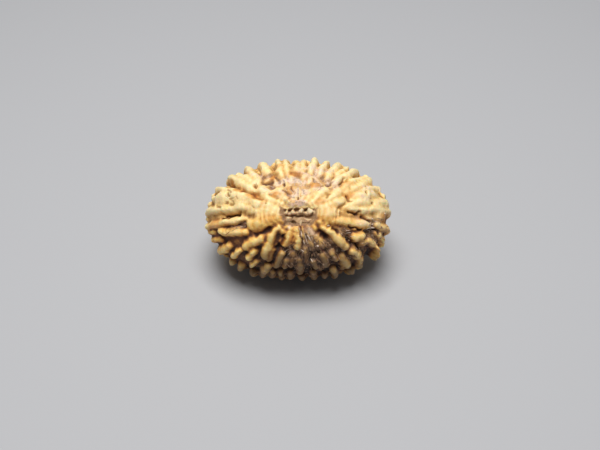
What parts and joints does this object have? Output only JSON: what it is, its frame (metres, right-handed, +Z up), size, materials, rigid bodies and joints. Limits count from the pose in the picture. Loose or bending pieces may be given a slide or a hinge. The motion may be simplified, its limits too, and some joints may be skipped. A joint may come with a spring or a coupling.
{
  "type": "rudraksha seed",
  "caption": "Oblong woody seed stone with knuckled ridges running from a small pitted mouth round to the far pole, lying on a small flat spot with its mouth up.",
  "frame": {"origin": "on the surface that the seed lies on, under the middle of its outline", "axes": "+Z up, +X along the seed's long side, -Y the side that the mouth faces as it lies"},
  "size_m": [0.0316, 0.0206, 0.02],
  "materials": {
    "seed_stone": "satin"
  },
  "bodies": {
    "root": {"rudraksha_seed": "seed_stone"}
  },
  "joints": []
}
